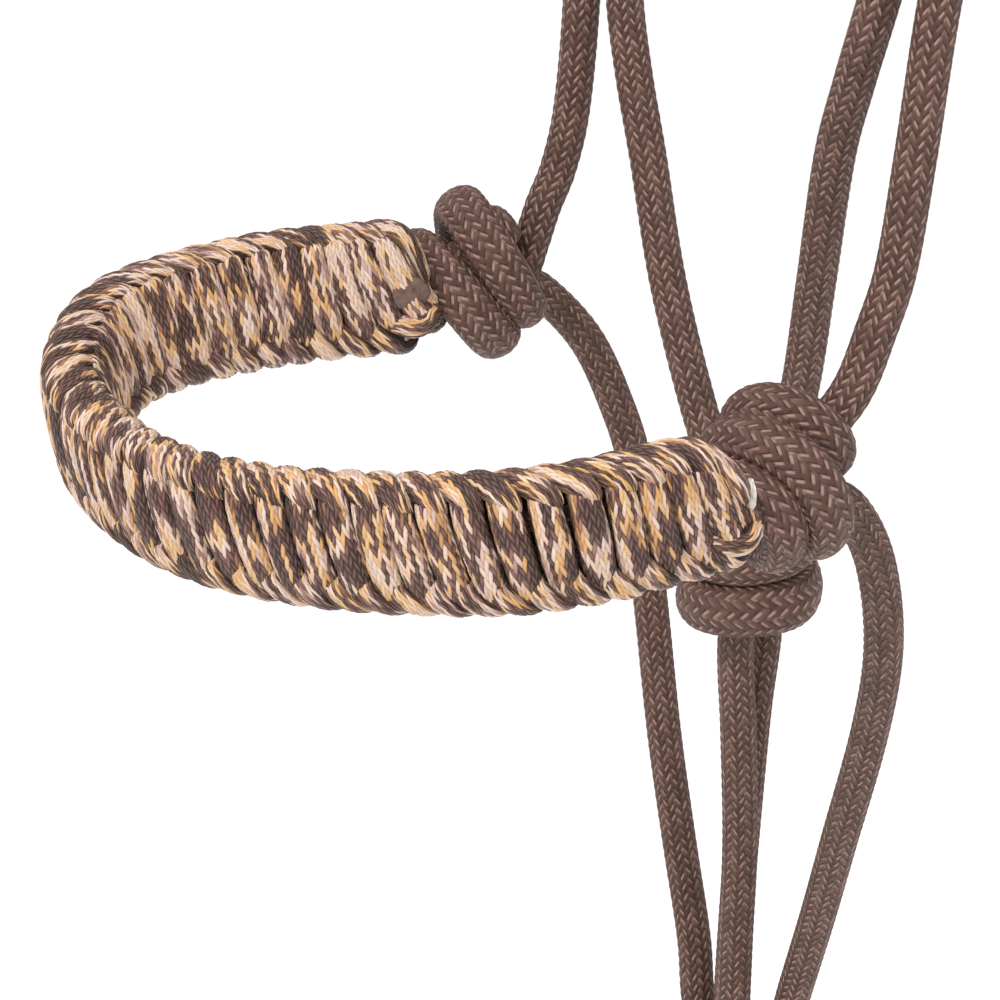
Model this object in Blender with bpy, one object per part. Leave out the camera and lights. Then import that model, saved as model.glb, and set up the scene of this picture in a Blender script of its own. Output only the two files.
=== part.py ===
"""Rope halter for a horse, hanging from its crown.

+Z is up, +X is the horse's left and -Y is the horse's nose. The origin is where the crown rests
on the poll. Every length below is in millimetres and is turned into metres where it is used.
"""

import math

import bmesh
import bpy
from mathutils import Vector

MM = 0.001

# Driving sizes
ROPE_DIAMETER = 6.5
SLEEVE_HEIGHT = 22.0
SLEEVE_THICKNESS = 11.2

# Knots: middle, half length along X, radius about X
THROAT_KNOT = ((46.5, -2.0, -186.0), 12.0, 12.5)
NOSE_KNOT = ((46.5, -27.0, -295.0), 11.5, 12.5)
JAW_KNOT = ((0.0, 0.0, -341.0), 11.5, 10.5)
FIADOR_KNOT = ((0.0, 1.0, -449.0), 15.0, 16.0)
TIE_KNOT = ((50.5, -1.0, -100.0), 9.5, 11.0)

# Routes of the rope, from knot to knot
NOSEBAND_ROUTE = (
    (54.9, -43.2, -291.0),
    (51.0, -69.0, -292.5),
    (36.0, -87.0, -295.5),
    (17.0, -102.0, -297.5),
    (-4.0, -108.5, -298.5),
    (-28.0, -107.0, -297.5),
    (-47.0, -92.0, -295.5),
    (-48.0, -68.0, -293.5),
    (-41.4, -43.4, -293.0),
)
CHEEK_LEFT = (
    (46.5, -15.5, -284.5),
    (46.5, -11.3, -275.0),
    (46.5, -8.4, -266.0),
    (46.8, -6.4, -249.0),
    (47.5, -4.4, -226.0),
    (48.8, -1.8, -206.0),
    (49.2, -0.4, -199.4),
)
CHEEK_RIGHT = (
    (-46.5, -15.5, -286.5),
    (-46.5, -12.6, -280.0),
    (-46.5, -9.9, -270.0),
    (-46.8, -7.6, -251.0),
    (-47.6, -6.3, -228.0),
    (-48.8, -4.7, -206.0),
    (-49.2, -4.0, -199.4),
)
THROAT_LEFT = (
    (43.6, -5.6, -199.0),
    (42.8, -7.4, -211.0),
    (40.0, -9.3, -227.0),
    (34.0, -8.4, -241.0),
    (28.0, -6.9, -254.6),
    (19.0, -2.7, -279.0),
    (13.0, -0.3, -298.5),
    (6.6, 1.2, -318.0),
    (4.3, 1.4, -329.4),
)
THROAT_RIGHT = (
    (-43.6, 0.8, -199.0),
    (-43.0, -0.6, -214.0),
    (-41.6, -2.0, -234.0),
    (-39.2, -2.4, -250.0),
    (-36.0, -2.3, -262.0),
    (-31.0, -2.5, -274.0),
    (-24.0, -2.3, -294.5),
    (-14.5, -1.8, -313.5),
    (-4.0, -1.4, -329.4),
)
JAW_FRONT = (
    (1.9, -2.4, -352.4),
    (2.5, -2.3, -368.0),
    (3.0, -1.8, -391.0),
    (3.0, -1.9, -411.0),
    (3.0, -1.7, -431.8),
)
JAW_REAR = (
    (-1.9, 3.9, -352.4),
    (-2.6, 2.6, -368.0),
    (-3.1, 1.7, -391.0),
    (-3.1, 1.6, -411.0),
    (-3.1, 1.8, -431.8),
)
CHIN_LEFT = (
    (46.4, -14.4, -303.6),
    (45.0, -7.9, -314.6),
    (42.0, -2.9, -332.0),
    (36.0, 0.2, -351.3),
    (27.0, 1.9, -378.5),
    (19.0, 4.1, -399.7),
    (11.0, 5.6, -422.0),
    (9.0, 5.6, -431.2),
)
CHIN_RIGHT = (
    (-46.4, -13.6, -302.0),
    (-44.4, -4.2, -312.0),
    (-42.0, 1.4, -324.6),
    (-39.0, 2.8, -336.0),
    (-33.0, 1.6, -361.0),
    (-25.5, 0.2, -384.0),
    (-19.0, -0.6, -404.0),
    (-12.6, -1.8, -421.0),
    (-9.6, -2.4, -431.0),
)
CROWN_ARCH = (
    (-46.5, -172.4),
    (-50.0, -140.0),
    (-52.5, -100.0),
    (-47.0, -52.0),
    (-28.0, -13.0),
    (0.0, 3.4),
    (28.0, -12.0),
    (45.0, -48.0),
    (50.0, -88.2),
)
LEAD_LOOP = (
    (-6.4, -15.9),
    (-9.2, -26.0),
    (-11.6, -42.0),
    (-11.0, -58.0),
    (-6.5, -68.0),
    (0.0, -71.8),
    (6.5, -68.0),
    (11.0, -58.0),
    (11.6, -42.0),
    (9.2, -26.0),
    (6.4, -15.9),
)
TAIL = (
    (58.4, -109.4),
    (62.0, -116.5),
    (63.8, -127.0),
    (64.0, -150.0),
    (64.0, -172.0),
)
TAIL_TIP_LENGTH = 9.0
PAIR_HALF_SPACING = 3.6

# Colours, as linear red, green and blue
BROWN = (0.085, 0.050, 0.042)
DESERT = (0.36, 0.21, 0.12)
MELTED = (0.10, 0.07, 0.06)


def clear_scene():
    for obj in list(bpy.data.objects):
        bpy.data.objects.remove(obj, do_unlink=True)


def material(name, colour, roughness):
    mat = bpy.data.materials.new(name)
    mat.use_nodes = True
    shader = mat.node_tree.nodes["Principled BSDF"]
    shader.inputs["Base Color"].default_value = (*colour, 1.0)
    shader.inputs["Roughness"].default_value = roughness
    shader.inputs["Metallic"].default_value = 0.0
    return mat


def pivot(name, place, parent=None):
    """An empty on a joint's axis, at a world position in millimetres."""
    empty = bpy.data.objects.new(name, None)
    empty.empty_display_size = 0.02
    bpy.context.scene.collection.objects.link(empty)
    empty["place"] = tuple(place)
    empty.parent = parent
    origin = Vector(parent["place"]) if parent else Vector((0.0, 0.0, 0.0))
    empty.location = (Vector(place) - origin) * MM
    return empty


def add(name, data, mat, parent):
    obj = bpy.data.objects.new(name, data)
    bpy.context.scene.collection.objects.link(obj)
    obj.data.materials.append(mat)
    obj.parent = parent
    return obj


def spline_points(points, step):
    """Points about a step apart on the smooth curve through the route's own points."""
    points = [Vector(p) for p in points]
    knots = [0.0]
    for a, b in zip(points, points[1:]):
        knots.append(knots[-1] + (b - a).length ** 0.5)
    slopes = []
    for i, point in enumerate(points):
        before = max(i - 1, 0)
        after = min(i + 1, len(points) - 1)
        slopes.append((points[after] - points[before]) / (knots[after] - knots[before]))
    fine = []
    for i in range(len(points) - 1):
        width = knots[i + 1] - knots[i]
        for k in range(24):
            t = k / 24
            fine.append(
                points[i] * (2 * t**3 - 3 * t**2 + 1)
                + slopes[i] * width * (t**3 - 2 * t**2 + t)
                + points[i + 1] * (3 * t**2 - 2 * t**3)
                + slopes[i + 1] * width * (t**3 - t**2)
            )
    fine.append(points[-1])
    lengths = [0.0]
    for a, b in zip(fine, fine[1:]):
        lengths.append(lengths[-1] + (b - a).length)
    count = max(3, math.ceil(lengths[-1] / step))
    found = []
    place = 0
    for k in range(count + 1):
        target = lengths[-1] * k / count
        while place < len(fine) - 2 and lengths[place + 1] < target:
            place += 1
        share = (target - lengths[place]) / (lengths[place + 1] - lengths[place])
        found.append(fine[place].lerp(fine[place + 1], min(1.0, share)))
    return found


def rope(name, points, mat, parent, diameter=ROPE_DIAMETER, step=11.0):
    """A round tube with flat ends along a smooth route."""
    origin = Vector(parent["place"]) if parent else Vector((0.0, 0.0, 0.0))
    curve = bpy.data.curves.new(name, "CURVE")
    curve.dimensions = "3D"
    curve.bevel_depth = diameter / 2 * MM
    curve.bevel_resolution = 3
    curve.use_fill_caps = True
    route = spline_points(points, step)
    line = curve.splines.new("POLY")
    line.points.add(len(route) - 1)
    for place, point in zip(line.points, route):
        place.co = (*((point - origin) * MM), 1.0)
    return add(name, curve, mat, parent)


def finished(name, shape):
    """A mesh in metres from a bmesh in millimetres, facing out."""
    shape.normal_update()
    bmesh.ops.recalc_face_normals(shape, faces=shape.faces)
    bmesh.ops.scale(shape, vec=(MM, MM, MM), verts=shape.verts)
    mesh = bpy.data.meshes.new(name)
    shape.to_mesh(mesh)
    shape.free()
    mesh.shade_smooth()
    mesh.set_sharp_from_angle(angle=math.radians(40))
    return mesh


def mirrored(knot):
    (x, y, z), half_length, radius = knot
    return (-x, y, z), half_length, radius


def knot(name, size, mat, parent):
    """A drawn-up knot, as a body of revolution about X, so what turns about it stays clear."""
    middle, half_length, radius = size
    shape = bmesh.new()
    bmesh.ops.create_uvsphere(shape, u_segments=20, v_segments=12, radius=1.0)
    for vert in shape.verts:
        around_x, around_y, along = vert.co
        vert.co = (along * half_length, around_x * radius, around_y * radius)
    obj = add(name, finished(name, shape), mat, parent)
    origin = Vector(parent["place"]) if parent else Vector((0.0, 0.0, 0.0))
    obj.location = (Vector(middle) - origin) * MM
    return obj


def band(name, profile, mat, parent):
    """A profile of (outward, upward) points drawn along the noseband's route."""
    origin = Vector(parent["place"])
    route = spline_points(NOSEBAND_ROUTE, 6.5)
    shape = bmesh.new()
    rings = []
    for i, point in enumerate(route):
        ahead = route[min(i + 1, len(route) - 1)] - route[max(i - 1, 0)]
        outward = Vector((ahead.y, -ahead.x, 0.0)).normalized()
        upward = outward.cross(ahead.normalized())
        if upward.z < 0:
            upward = -upward
        ring = []
        for out, up in profile:
            ring.append(shape.verts.new(point - origin + outward * -out + upward * up))
        rings.append(ring)
    for ring, following in zip(rings, rings[1:]):
        for k in range(len(profile)):
            after = (k + 1) % len(profile)
            shape.faces.new((ring[k], ring[after], following[after], following[k]))
    shape.faces.new(rings[0])
    shape.faces.new(rings[-1])
    return add(name, finished(name, shape), mat, parent)


def circle_profile(height):
    radius = ROPE_DIAMETER / 2
    return [
        (radius * math.cos(math.tau * k / 12), height + radius * math.sin(math.tau * k / 12))
        for k in range(12)
    ]


def face_profile(side):
    """The bars on one face of the sleeve: flat towards the ropes, plump away from them."""
    inside = ROPE_DIAMETER / 2 + 0.3
    outside = SLEEVE_THICKNESS / 2
    half = ROPE_DIAMETER + 0.25
    outline = (
        (inside, -half),
        (outside - 1.0, -half),
        (outside - 0.25, -half + 1.8),
        (outside, 0.0),
        (outside - 0.25, half - 1.8),
        (outside - 1.0, half),
        (inside, half),
    )
    return [(side * out, up) for out, up in outline]


def ridge_profile(side):
    """The row of loops along an edge of the sleeve."""
    low = ROPE_DIAMETER + 0.55
    top = SLEEVE_HEIGHT / 2
    outline = (
        (-4.4, low),
        (4.4, low),
        (4.8, low + 1.2),
        (4.0, top - 0.9),
        (1.8, top),
        (-1.8, top),
        (-4.0, top - 0.9),
        (-4.8, low + 1.2),
    )
    return [(out, side * up) for out, up in outline]


def cord_end(name, tip, inner, mat, parent):
    """The melted and flattened end of the accessory cord, in the mouth of the sleeve."""
    origin = Vector(parent["place"])
    along = (tip - inner).normalized()
    shape = bmesh.new()
    bmesh.ops.create_cube(shape, size=1.0)
    thick, wide, tall = 1.4, 4.6, 7.0
    outward = Vector((-along.y, along.x, 0.0)).normalized()
    upward = Vector((0.0, 0.0, 1.0))
    middle = tip + along * (thick / 2 + 0.4)
    for vert in shape.verts:
        x, y, z = vert.co
        vert.co = middle - origin + along * x * thick + outward * y * wide + upward * z * tall
    bmesh.ops.bevel(shape, geom=shape.edges[:], offset=0.35, segments=1, affect="EDGES")
    return add(name, finished(name, shape), mat, parent)


def shifted(points, y, x=0.0):
    """A route drawn in the X-Z plane, set at a place along Y."""
    return [(across + x, y, up) for across, up in points]


def crown(mat):
    """The stretch over the poll, the eye it is tied to and both throat knots."""
    for side, offset in (("front", -PAIR_HALF_SPACING), ("rear", PAIR_HALF_SPACING)):
        arch = shifted(CROWN_ARCH, offset)
        arch[0] = (arch[0][0], -2.0 + offset, arch[0][2])
        arch[-1] = (arch[-1][0], -1.0 + offset, arch[-1][2])
        rope("crown_strand_" + side, arch, mat, None)
        leg = (
            (46.5, -2.0 + offset, -172.4),
            (49.0, -1.8 + offset * 1.9, -158.0),
            (50.6, -1.4 + offset * 2.1, -138.0),
            (50.6, -1.0 + offset * 1.6, -122.0),
            (50.5, -1.0 + offset, -112.0),
        )
        rope("tie_loop_leg_" + side, leg, mat, None, step=8.0)
    knot("tie_knot", TIE_KNOT, mat, None)
    knot("throat_knot_left", THROAT_KNOT, mat, None)
    knot("throat_knot_right", mirrored(THROAT_KNOT), mat, None)


def tails(mat, tip_mat, parent):
    """The two loose ends after the tie, hanging outside the left throat knot."""
    middle_y = TIE_KNOT[0][1]
    for side, offset in (("front", -PAIR_HALF_SPACING), ("rear", PAIR_HALF_SPACING)):
        points = shifted(TAIL, middle_y + offset)
        rope("crown_tail_" + side, points, mat, parent)
        x, y, z = points[-1]
        top = z - 0.4
        tip = [(x, y, top - share * TAIL_TIP_LENGTH) for share in (0.0, 0.5, 1.0)]
        rope("tail_tip_" + side, tip, tip_mat, parent)


def head(mat, parent):
    """Cheeks, throat latch, chin and the knots between them."""
    rope("cheek_strand_left", CHEEK_LEFT, mat, parent)
    rope("cheek_strand_right", CHEEK_RIGHT, mat, parent)
    rope("throat_strand_left", THROAT_LEFT, mat, parent)
    rope("throat_strand_right", THROAT_RIGHT, mat, parent)
    rope("jaw_strand_front", JAW_FRONT, mat, parent)
    rope("jaw_strand_rear", JAW_REAR, mat, parent)
    rope("chin_strand_left", CHIN_LEFT, mat, parent, step=9.0)
    rope("chin_strand_right", CHIN_RIGHT, mat, parent, step=9.0)
    knot("nose_knot_left", NOSE_KNOT, mat, parent)
    knot("nose_knot_right", mirrored(NOSE_KNOT), mat, parent)
    knot("jaw_knot", JAW_KNOT, mat, parent)
    knot("fiador_knot", FIADOR_KNOT, mat, parent)


def noseband(rope_mat, cord_mat, melted_mat, parent):
    """Two ropes side by side, with accessory cord woven round them."""
    core_height = ROPE_DIAMETER / 2 + 0.2
    band("noseband_core_upper", circle_profile(core_height), rope_mat, parent)
    band("noseband_core_lower", circle_profile(-core_height), rope_mat, parent)
    band("noseband_weave_outer", face_profile(1), cord_mat, parent)
    band("noseband_weave_inner", face_profile(-1), cord_mat, parent)
    band("noseband_ridge_upper", ridge_profile(1), cord_mat, parent)
    band("noseband_ridge_lower", ridge_profile(-1), cord_mat, parent)
    route = spline_points(NOSEBAND_ROUTE, 6.5)
    cord_end("noseband_cord_end_left", route[0], route[1], melted_mat, parent)
    cord_end("noseband_cord_end_right", route[-1], route[-2], melted_mat, parent)


def lead_loops(mat, parent):
    """The two eyes under the fiador knot that a lead rope is tied through."""
    x, y, z = FIADOR_KNOT[0]
    for side, offset in (("left", PAIR_HALF_SPACING), ("right", -PAIR_HALF_SPACING)):
        points = [(x + offset, y + across, z - 1.2 + up) for across, up in LEAD_LOOP]
        rope("lead_loop_" + side, points, mat, parent, step=6.5)


def build():
    clear_scene()
    brown = material("rope_brown", BROWN, 0.75)
    desert = material("cord_desert", DESERT, 0.55)
    melted = material("cord_melted", MELTED, 0.35)
    head_pivot = pivot("head_pivot", (0.0, *THROAT_KNOT[0][1:]))
    nose_pivot = pivot("noseband_pivot", (0.0, *NOSE_KNOT[0][1:]), head_pivot)
    lead_pivot = pivot("lead_loop_pivot", FIADOR_KNOT[0], head_pivot)
    tail_pivot = pivot("tail_pivot", TIE_KNOT[0])
    crown(brown)
    tails(brown, melted, tail_pivot)
    head(brown, head_pivot)
    noseband(brown, desert, melted, nose_pivot)
    lead_loops(brown, lead_pivot)


build()
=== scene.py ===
"""Looks of the rope halter: braided rope, drawn-up knots and the woven sleeve of the noseband.

Sizes and routes are in millimetres and are turned into metres where a mesh is made. +Z is up,
+X is the horse's left, -Y is the horse's nose, and the origin is where the crown rests.
"""

import math

import bmesh
import bpy
import numpy as np
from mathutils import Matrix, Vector


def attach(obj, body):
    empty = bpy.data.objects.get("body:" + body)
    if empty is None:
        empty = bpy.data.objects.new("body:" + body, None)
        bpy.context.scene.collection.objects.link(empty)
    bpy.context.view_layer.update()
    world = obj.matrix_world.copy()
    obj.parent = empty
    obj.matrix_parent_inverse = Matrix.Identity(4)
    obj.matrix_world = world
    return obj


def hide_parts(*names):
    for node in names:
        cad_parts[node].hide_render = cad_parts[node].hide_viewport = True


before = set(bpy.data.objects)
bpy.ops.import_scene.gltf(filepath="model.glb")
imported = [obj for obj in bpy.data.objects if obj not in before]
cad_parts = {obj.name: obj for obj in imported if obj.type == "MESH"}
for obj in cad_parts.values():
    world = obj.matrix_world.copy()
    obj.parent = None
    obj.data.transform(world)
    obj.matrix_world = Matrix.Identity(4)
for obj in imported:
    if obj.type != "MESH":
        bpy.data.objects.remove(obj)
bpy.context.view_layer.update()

MM = 0.001

# Camera, floor and lamps
CAMERA_PLACE = (378.7, -261.7, -97.7)
CAMERA_TARGET = (0.3, -48.4, -313.8)
CAMERA_ANGLE = 18.516
FLOOR_HEIGHT = -900.0
FLOOR_HALF = 6000.0
LIT_PLACE = (0.0, -40.0, -300.0)
# (name, place, width of its square, watts)
LAMPS = (
    ("key", (200.0, -600.0, 550.0), 550.0, 9.0),
    ("fill", (1200.0, 200.0, 200.0), 1200.0, 3.0),
)

# Rope and cord; the radii leave out the height of the yarns
ROPE_RADIUS = 3.06
PAIR_HALF_SPACING = 3.6
CORD_PITCH = 4.7
CORE_RADIUS = 2.5
CORE_HEIGHT = 3.45
# Half thickness and half width of the rope in a knot
KNOT_THICK = 3.1
KNOT_WIDE = 3.3

# Middles of the knots
THROAT_KNOT = (46.5, -2.0, -186.0)
NOSE_KNOT = (46.5, -27.0, -295.0)
JAW_KNOT = (0.0, 0.0, -341.0)
FIADOR_KNOT = (0.0, 1.0, -449.0)
TIE_KNOT = (50.5, -1.0, -100.0)

# Routes of the rope, from knot to knot
NOSEBAND_ROUTE = (
    (54.9, -43.2, -291.0),
    (51.0, -69.0, -292.5),
    (36.0, -87.0, -295.5),
    (17.0, -102.0, -297.5),
    (-4.0, -108.5, -298.5),
    (-28.0, -107.0, -297.5),
    (-47.0, -92.0, -295.5),
    (-48.0, -68.0, -293.5),
    (-41.4, -43.4, -293.0),
)
CHEEK_LEFT = (
    (46.5, -15.5, -284.5),
    (46.5, -11.3, -275.0),
    (46.5, -8.4, -266.0),
    (46.8, -6.4, -249.0),
    (47.5, -4.4, -226.0),
    (48.8, -1.8, -206.0),
    (49.2, -0.4, -199.4),
)
CHEEK_RIGHT = (
    (-46.5, -13.6, -286.5),
    (-46.5, -10.6, -280.0),
    (-46.5, -8.1, -270.0),
    (-46.8, -6.2, -251.0),
    (-47.6, -5.2, -228.0),
    (-48.8, -3.8, -206.0),
    (-49.2, -3.4, -199.4),
)
THROAT_LEFT = (
    (43.6, -5.6, -199.0),
    (42.8, -7.4, -211.0),
    (40.0, -9.3, -227.0),
    (34.0, -8.4, -241.0),
    (28.0, -6.9, -254.6),
    (19.0, -2.7, -279.0),
    (13.0, -0.3, -298.5),
    (6.6, 1.2, -318.0),
    (4.3, 1.4, -329.4),
)
THROAT_RIGHT = (
    (-43.6, 0.8, -199.0),
    (-43.0, -0.6, -214.0),
    (-41.6, -2.0, -234.0),
    (-39.2, -2.4, -250.0),
    (-36.0, -2.3, -262.0),
    (-31.0, -2.5, -274.0),
    (-24.0, -2.3, -294.5),
    (-14.5, -1.8, -313.5),
    (-4.0, -1.4, -329.4),
)
JAW_FRONT = (
    (1.9, -3.4, -352.4),
    (2.5, -2.6, -368.0),
    (3.0, -1.6, -391.0),
    (3.0, -1.7, -411.0),
    (3.0, -1.7, -431.8),
)
JAW_REAR = (
    (-1.9, 5.0, -352.4),
    (-2.6, 4.1, -368.0),
    (-3.1, 3.2, -391.0),
    (-3.1, 2.4, -411.0),
    (-3.1, 1.9, -431.8),
)
CHIN_LEFT = (
    (46.4, -14.4, -303.6),
    (45.0, -7.9, -314.6),
    (42.0, -2.9, -332.0),
    (36.0, 0.2, -351.3),
    (27.0, 1.9, -378.5),
    (19.0, 4.1, -399.7),
    (11.0, 5.6, -422.0),
    (9.0, 5.6, -431.2),
)
CHIN_RIGHT = (
    (-46.4, -14.0, -302.0),
    (-44.4, -5.9, -312.0),
    (-42.0, -0.9, -324.6),
    (-39.0, 1.3, -336.0),
    (-33.0, 1.6, -361.0),
    (-25.5, 0.4, -384.0),
    (-19.0, 0.2, -404.0),
    (-12.6, -0.2, -421.0),
    (-9.6, -1.0, -431.0),
)
CROWN_ARCH = (
    (-46.5, -172.4),
    (-50.0, -140.0),
    (-52.5, -100.0),
    (-47.0, -52.0),
    (-28.0, -13.0),
    (0.0, 3.4),
    (28.0, -12.0),
    (45.0, -48.0),
    (50.0, -88.2),
)
LEAD_LOOP = (
    (-6.4, -15.9),
    (-9.2, -26.0),
    (-11.6, -42.0),
    (-11.0, -58.0),
    (-6.5, -68.0),
    (0.0, -71.8),
    (6.5, -68.0),
    (11.0, -58.0),
    (11.6, -42.0),
    (9.2, -26.0),
    (6.4, -15.9),
)
TAIL = (
    (58.4, -109.4),
    (62.0, -116.5),
    (63.8, -127.0),
    (64.0, -150.0),
    (64.0, -172.0),
)
TAIL_TIP_LENGTH = 9.0
# (x, y, share of the pair's spacing, z)
TIE_LOOP_LEG = (
    (46.5, -2.0, 0.7, -184.0),
    (46.5, -2.0, 1.0, -172.4),
    (49.0, -1.8, 1.9, -158.0),
    (50.6, -1.4, 2.1, -138.0),
    (50.6, -1.0, 1.6, -122.0),
    (50.5, -1.0, 1.0, -112.0),
    (50.5, -1.0, 1.0, -102.0),
)


# Curves


def unit(vectors):
    return vectors / np.maximum(np.linalg.norm(vectors, axis=-1, keepdims=True), 1e-9)


def smoothstep(x):
    x = np.clip(x, 0.0, 1.0)
    return x * x * (3 - 2 * x)


def through(points, step):
    """Points about a step apart on the smooth curve through a route's own points."""
    points = np.array(points, float)
    spans = np.sqrt(np.linalg.norm(np.diff(points, axis=0), axis=1))
    knots = np.concatenate([[0.0], np.cumsum(spans)])
    before = np.maximum(np.arange(len(points)) - 1, 0)
    after = np.minimum(np.arange(len(points)) + 1, len(points) - 1)
    slopes = (points[after] - points[before]) / (knots[after] - knots[before])[:, None]
    t = (np.arange(40) / 40)[None, :, None]
    width = spans[:, None, None]
    fine = (
        points[:-1, None] * (2 * t**3 - 3 * t**2 + 1)
        + slopes[:-1, None] * width * (t**3 - 2 * t**2 + t)
        + points[1:, None] * (3 * t**2 - 2 * t**3)
        + slopes[1:, None] * width * (t**3 - t**2)
    )
    fine = np.vstack([fine.reshape(-1, 3), points[-1:]])
    lengths = np.concatenate([[0.0], np.cumsum(np.linalg.norm(np.diff(fine, axis=0), axis=1))])
    count = max(4, round(lengths[-1] / step))
    places = np.linspace(0.0, lengths[-1], count + 1)
    return np.stack([np.interp(places, lengths, fine[:, k]) for k in range(3)], axis=1)


def untwisted(tangents, first):
    """Normals along a line that turn about it as little as they can."""
    normals = np.empty_like(tangents)
    normal = np.array(first, float)
    for i, tangent in enumerate(tangents):
        normal = normal - tangent * np.dot(normal, tangent)
        normal = normal / np.linalg.norm(normal)
        normals[i] = normal
    return normals


# Braids

# A yarn's half width is one over this, in carriers
YARN_NARROWNESS = 1.86
# Rings that close a tube's end, as shares of its rounding
CAP_RINGS = (0.96, 0.82, 0.6, 0.32)


class Braid:
    """A round braid in which each carrier goes over two and under two.

    Coordinates a and b count the carriers of the two directions, so a carrier's middle line is
    a whole number of one of them, and it rises and dips once in every four of the other.
    """

    def __init__(self, carriers, cell, depth, swing, detail):
        self.carriers = carriers
        self.cell = cell
        self.depth = depth
        self.swing = swing
        self.detail = detail
        self.around = carriers * detail
        self.step = cell / (2 * detail)

    def height(self, a, b):
        over, under = np.floor(a + 0.5), np.floor(b + 0.5)
        rising = self.crest(a - over) + self.swing * np.cos((over + b - 0.5) * math.pi / 2)
        falling = self.crest(b - under) + self.swing * np.cos((a + under - 2.5) * math.pi / 2)
        return np.maximum(rising, falling) - self.depth

    def crest(self, across):
        return self.depth * np.sqrt(1 - np.minimum(1.0, (YARN_NARROWNESS * across) ** 2))


ROPE = Braid(carriers=32, cell=1.9, depth=0.19, swing=0.11, detail=3)
PLAIN_ROPE = Braid(carriers=32, cell=1.9, depth=0.19, swing=0.11, detail=2)
CORD = Braid(carriers=44, cell=1.9, depth=0.16, swing=0.10, detail=2)


class Shape:
    """Tubes gathered into one mesh."""

    def __init__(self):
        self.points, self.quads, self.triangles = [], [], []
        self.quad_uvs, self.triangle_uvs = [], []
        self.count = 0

    def tube(self, line, braid, thick, wide, normals=None, start=0, rounding=2.2):
        """A braided tube along a line, closed and rounded at both ends.

        thick and wide are its radii along the normals and across them.
        """
        tangents = unit(np.gradient(line, axis=0))
        if normals is None:
            first = np.cross(tangents[0], (0.31, 0.22, 0.92))
            normals = untwisted(tangents, first)
        normals = unit(normals - tangents * np.sum(normals * tangents, axis=1)[:, None])
        sides = np.cross(tangents, normals)
        count = len(line)
        thick = np.broadcast_to(np.asarray(thick, float), count)
        wide = np.broadcast_to(np.asarray(wide, float), count)
        share = np.array(CAP_RINGS)
        caps = len(share)
        ends = np.concatenate([np.zeros(caps, int), np.arange(count), np.full(caps, count - 1)])
        out = np.concatenate([-share, np.zeros(count), share[::-1]])
        shrink = np.sqrt(1 - out**2)
        centres = line[ends] + tangents[ends] * (out * rounding)[:, None]
        ahead = (start - caps + np.arange(count + 2 * caps)) / (2 * braid.detail)
        turn = np.arange(braid.around + 1) / braid.around
        a = braid.carriers / 2 * turn[None, :] + ahead[:, None]
        b = braid.carriers / 2 * turn[None, :] - ahead[:, None]
        relief = braid.height(a, b)
        angle = turn * math.tau
        along_normal = (thick[ends][:, None] + relief) * np.cos(angle) * shrink[:, None]
        along_side = (wide[ends][:, None] + relief) * np.sin(angle) * shrink[:, None]
        points = (
            centres[:, None]
            + along_normal[..., None] * normals[ends][:, None]
            + along_side[..., None] * sides[ends][:, None]
        )
        rings = len(ends)
        poles = np.array([line[0] - tangents[0] * rounding, line[-1] + tangents[-1] * rounding])
        self.points += [points[:, :-1].reshape(-1, 3), poles]
        index = self.count + np.arange(rings * braid.around).reshape(rings, braid.around)
        index = np.concatenate([index, index[:, :1]], axis=1)
        uvs = np.stack([a, b], axis=-1)
        near, far = (slice(None, -1), slice(1, None))
        corners = ((near, near), (near, far), (far, far), (far, near))
        self.quads.append(np.stack([index[c] for c in corners], axis=-1).reshape(-1, 4))
        self.quad_uvs.append(np.stack([uvs[c] for c in corners], axis=-2).reshape(-1, 4, 2))
        base = self.count + rings * braid.around
        for ring, pole, flip in ((0, base, 1), (-1, base + 1, -1)):
            ids = np.stack([index[ring, :-1], index[ring, 1:]][::-flip], axis=-1)
            ids = np.concatenate([ids, np.full((braid.around, 1), pole)], axis=1)
            pair = np.stack([uvs[ring, :-1], uvs[ring, 1:]][::-flip], axis=-2)
            self.triangles.append(ids)
            self.triangle_uvs.append(np.concatenate([pair, pair[:, :1]], axis=1))
        self.count = base + 2

    def rope(self, route, braid=ROPE, radius=ROPE_RADIUS, **options):
        self.tube(through(route, braid.step), braid, radius, radius, **options)

    def piece(self, name, material):
        points = np.concatenate(self.points) * MM
        quads, triangles = np.concatenate(self.quads), np.concatenate(self.triangles)
        loops = np.concatenate([quads.reshape(-1), triangles.reshape(-1)])
        uvs = [np.concatenate(part).reshape(-1) for part in (self.quad_uvs, self.triangle_uvs)]
        starts = np.concatenate(
            [np.arange(len(quads)) * 4, len(quads) * 4 + np.arange(len(triangles)) * 3]
        )
        mesh = bpy.data.meshes.new(name)
        mesh.vertices.add(len(points))
        mesh.vertices.foreach_set("co", points.astype(np.float32).reshape(-1))
        mesh.loops.add(len(loops))
        mesh.loops.foreach_set("vertex_index", loops.astype(np.int32))
        mesh.polygons.add(len(starts))
        mesh.polygons.foreach_set("loop_start", starts.astype(np.int32))
        mesh.update(calc_edges=True)
        mesh.uv_layers.new(name="braid")
        mesh.uv_layers["braid"].data.foreach_set("uv", np.concatenate(uvs).astype(np.float32))
        mesh.shade_smooth()
        return place(name, mesh, material)


def place(name, mesh, material):
    obj = bpy.data.objects.new(name, mesh)
    bpy.context.scene.collection.objects.link(obj)
    mesh.materials.append(material)
    return obj


# Materials


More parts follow.
